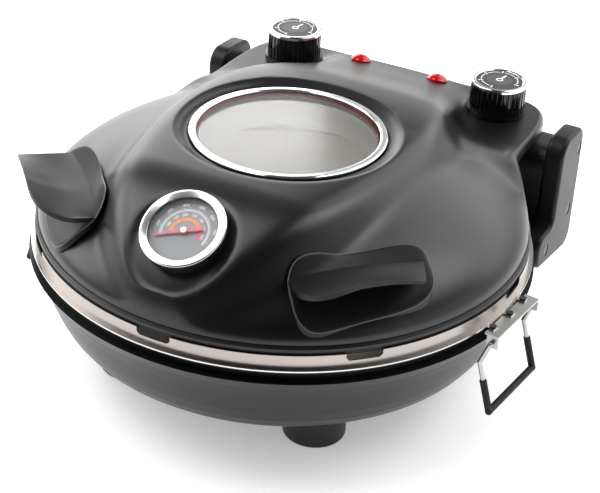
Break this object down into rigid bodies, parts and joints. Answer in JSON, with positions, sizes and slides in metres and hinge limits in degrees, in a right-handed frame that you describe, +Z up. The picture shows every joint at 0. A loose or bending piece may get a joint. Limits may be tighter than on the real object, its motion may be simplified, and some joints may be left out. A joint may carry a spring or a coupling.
{
  "type": "electric pizza maker",
  "caption": "Round table-top pizza oven with a stone, a domed lid on two hinge arms, a viewing window, a dial thermometer, thermostat knobs and side carrying bails.",
  "frame": {"origin": "on the table, under the centre of the round pan", "axes": "+Z up, +Y towards the hinge and the knobs, -Y towards the user, +X to the user's right"},
  "size_m": [0.383, 0.3826, 0.177],
  "materials": {
    "base_plastic": "satin charcoal plastic",
    "black_plastic": "matt black plastic",
    "arm_plastic": "satin dark grey plastic",
    "handle_plastic": "matt dark grey plastic",
    "cream_plastic": "plain moulded",
    "gloss_black": "gloss black",
    "lamp_red": "clear red lens",
    "lid_paint": "satin charcoal enamel",
    "dial_paint": "printed grey",
    "needle_paint": "red lacquer",
    "pan_steel": "plain sheet",
    "collar_steel": "brushed round the oven",
    "liner_steel": "plain sheet",
    "heater_steel": "heat-stained sheath",
    "dark_rivet": "black",
    "bail_chrome": "bright",
    "ring_chrome": "polished",
    "rubber": "black",
    "red_rubber": "red silicone",
    "stone": "fired clay, matt and opaque",
    "glass": "clear"
  },
  "bodies": {
    "base": {"base_housing": "base_plastic", "rim_spacer": "black_plastic", "pan": "pan_steel", "vent_collar": "collar_steel", "pizza_stone": "stone", "lower_element": "heater_steel", "lower_element_clips": "pan_steel", "heat_shield": "pan_steel", "shield_posts": "pan_steel", "floor_cover": "pan_steel", "floor_screws": "pan_steel", "feet": "black_plastic", "foot_pads": "rubber", "terminal_block": "cream_plastic", "cord_bushing": "rubber", "hinge_arm_left": "black_plastic", "hinge_arm_right": "black_plastic", "arm_cover_left": "arm_plastic", "arm_cover_right": "arm_plastic", "arm_screws": "pan_steel", "hinge_pin_left": "pan_steel", "hinge_pin_right": "pan_steel", "bail_bracket_left": "bail_chrome", "bail_bracket_right": "bail_chrome", "bracket_rivets": "dark_rivet"},
    "bail_left": {"bail_wire_left": "bail_chrome", "bail_sleeve_left": "rubber"},
    "bail_right": {"bail_wire_right": "bail_chrome", "bail_sleeve_right": "rubber"},
    "lid": {"lid_shell": "lid_paint", "lid_rear_wall": "black_plastic", "lid_ring": "black_plastic", "lid_seal": "rubber", "lid_liner": "liner_steel", "upper_element": "heater_steel", "upper_element_clips": "liner_steel", "window_frame": "black_plastic", "window_well": "liner_steel", "window_gasket": "red_rubber", "window_glass": "glass", "window_ring": "ring_chrome", "thermometer_case": "black_plastic", "thermometer_bezel": "ring_chrome", "thermometer_dial": "dial_paint", "thermometer_lens": "glass", "handle_left": "handle_plastic", "handle_right": "handle_plastic", "control_housing": "black_plastic", "hinge_bush_left": "pan_steel", "hinge_bush_right": "pan_steel", "thermostats": "cream_plastic", "knob_bezel_left": "gloss_black", "knob_bezel_right": "gloss_black", "pilot_lamp_left": "lamp_red", "pilot_lamp_right": "lamp_red"},
    "needle": {"thermometer_needle": "needle_paint"},
    "knob_left": {"knob_left": "gloss_black", "knob_trim_left": "ring_chrome"},
    "knob_right": {"knob_right": "gloss_black", "knob_trim_right": "ring_chrome"}
  },
  "joints": [
    {"name": "lid_hinge", "type": "hinge", "parent": "base", "child": "lid", "pos_m": [0, 0.181, 0.113], "axis": [-1, 0, 0], "range_deg": [0, 95]},
    {"name": "knob_left_turn", "type": "hinge", "parent": "lid", "child": "knob_left", "pos_m": [-0.086, 0.174, 0.139], "axis": [0, 0, -1], "range_deg": [0, 270]},
    {"name": "knob_right_turn", "type": "hinge", "parent": "lid", "child": "knob_right", "pos_m": [0.086, 0.174, 0.139], "axis": [0, 0, -1], "range_deg": [0, 270]},
    {"name": "needle_turn", "type": "hinge", "parent": "lid", "child": "needle", "pos_m": [0, -0.1384, 0.16302], "axis": [0, 0.515, -0.8572], "range_deg": [0, 220]},
    {"name": "bail_left_swing", "type": "hinge", "parent": "base", "child": "bail_left", "pos_m": [-0.18051, -0.01897, 0.0884], "axis": [-0.1045, 0.9945, 0], "range_deg": [0, 120]},
    {"name": "bail_right_swing", "type": "hinge", "parent": "base", "child": "bail_right", "pos_m": [0.18051, -0.01897, 0.0884], "axis": [-0.1045, -0.9945, 0], "range_deg": [0, 120]}
  ]
}
